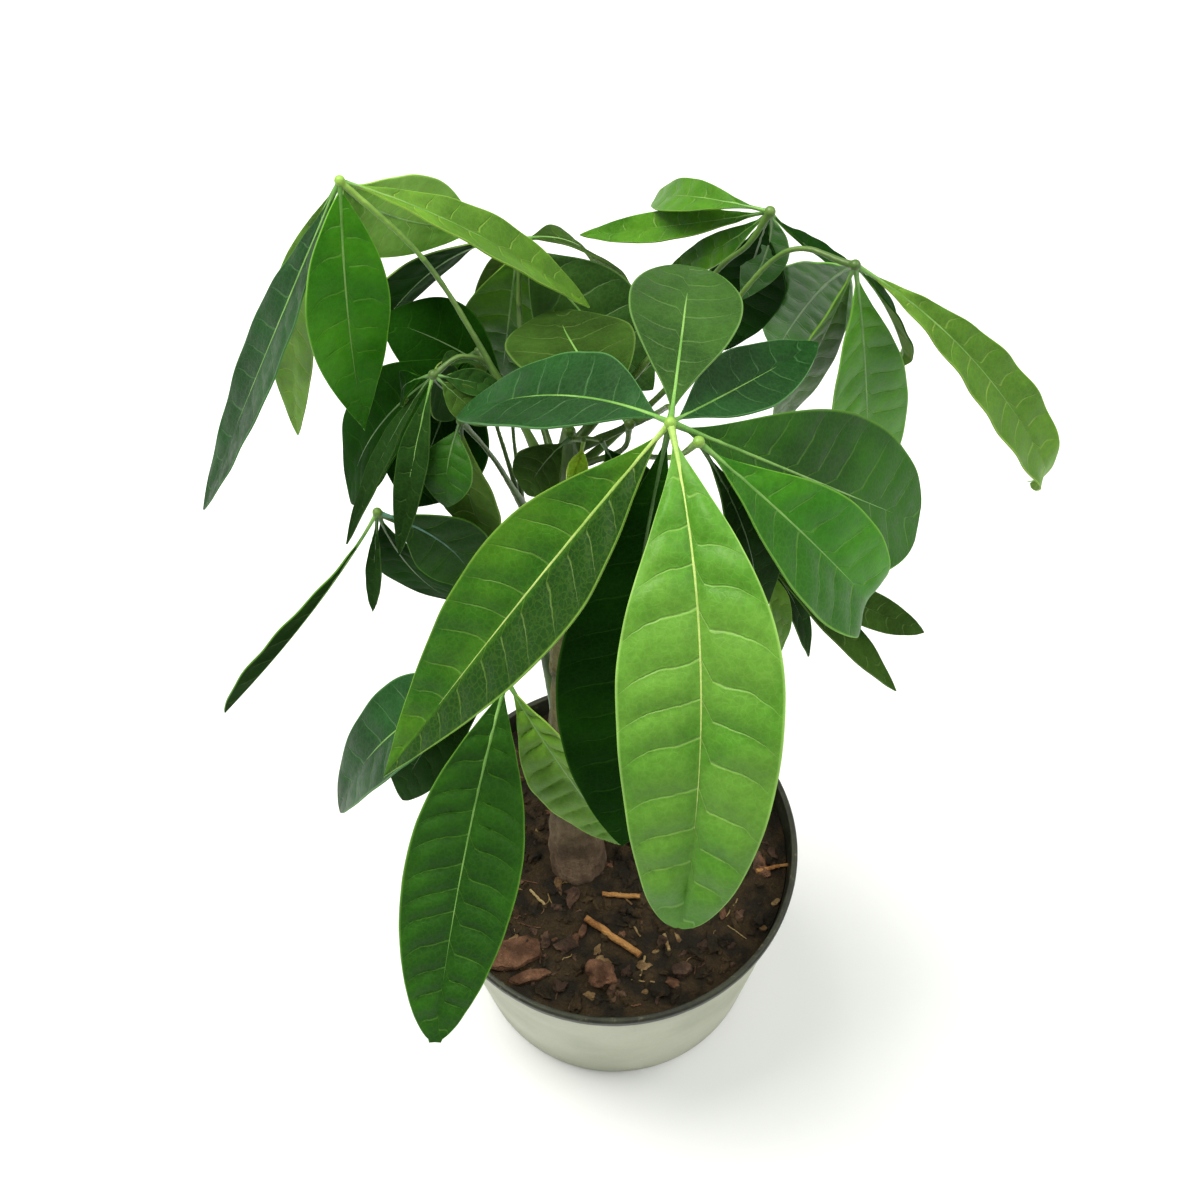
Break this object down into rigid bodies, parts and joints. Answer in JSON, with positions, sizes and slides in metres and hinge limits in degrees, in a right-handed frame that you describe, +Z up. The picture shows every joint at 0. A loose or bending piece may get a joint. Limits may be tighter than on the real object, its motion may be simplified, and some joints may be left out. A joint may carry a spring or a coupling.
{
  "type": "potted money tree",
  "caption": "Young money tree with glossy, drooping, hand-shaped leaves on a short swollen trunk, in soil in a round tapered nursery pot.",
  "frame": {"origin": "centre of the pot's underside, where it stands", "axes": "+Z up, +Y away from the side with the big drooping front leaves, +X to the right seen from that side"},
  "size_m": [0.2369, 0.2027, 0.3072],
  "materials": {
    "pot": "thin injection-moulded nursery pot, pale grey-green and satin outside, dark grey-green on the lip and inside",
    "soil": "damp potting mix of peat and fine bark, rough and matt",
    "stem": "brown-grey bark on the swollen trunk, green smooth skin on the leaf stalks",
    "leaf": "waxy deep green leaf blade with a pale raised midrib and quilted side veins",
    "bark": "damp reddish-brown bark chip",
    "twig": "dry tan twig"
  },
  "bodies": {
    "root": {"pot": "pot", "soil": "soil", "stem": "stem", "leaf_behind_front_back": "leaf", "leaf_front_back": "leaf", "leaf_front_back_right": "leaf", "leaf_front_down": "leaf", "leaf_front_down_left": "leaf", "leaf_front_left": "leaf", "leaf_front_right": "leaf", "leaf_front_under": "leaf", "leaf_high_left_back": "leaf", "leaf_high_left_front": "leaf", "leaf_high_left_long": "leaf", "leaf_high_left_outer": "leaf", "leaf_high_left_under": "leaf", "leaf_inner_left_left": "leaf", "leaf_inner_left_right": "leaf", "leaf_left_down": "leaf", "leaf_left_inner": "leaf", "leaf_left_outer": "leaf", "leaf_left_rear": "leaf", "leaf_left_small": "leaf", "leaf_low_front_down": "leaf", "leaf_low_front_down_left": "leaf", "leaf_low_front_left": "leaf", "leaf_low_front_right": "leaf", "leaf_low_left_down": "leaf", "leaf_low_left_edgewise": "leaf", "leaf_low_left_under": "leaf", "leaf_low_left_wide": "leaf", "leaf_low_right_curled": "leaf", "leaf_low_right_down": "leaf", "leaf_low_right_front": "leaf", "leaf_low_right_right": "leaf", "leaf_rear_left_back": "leaf", "leaf_rear_left_down": "leaf", "leaf_rear_left_left": "leaf", "leaf_rear_left_right": "leaf", "leaf_rear_right_back_left": "leaf", "leaf_rear_right_down": "leaf", "leaf_rear_right_far_left": "leaf", "leaf_rear_right_left": "leaf", "leaf_rear_right_right": "leaf", "leaf_right_curled": "leaf", "leaf_right_down": "leaf", "leaf_right_inner": "leaf", "leaf_right_left": "leaf", "leaf_right_long": "leaf", "leaf_shaded_left_inner": "leaf", "leaf_shaded_left_outer": "leaf", "leaf_under_front_down": "leaf", "leaf_under_front_right": "leaf", "bark_chip_narrow": "bark", "bark_chip_wide": "bark", "bark_lump": "bark", "twig_long": "twig", "twig_short": "twig"}
  },
  "joints": []
}
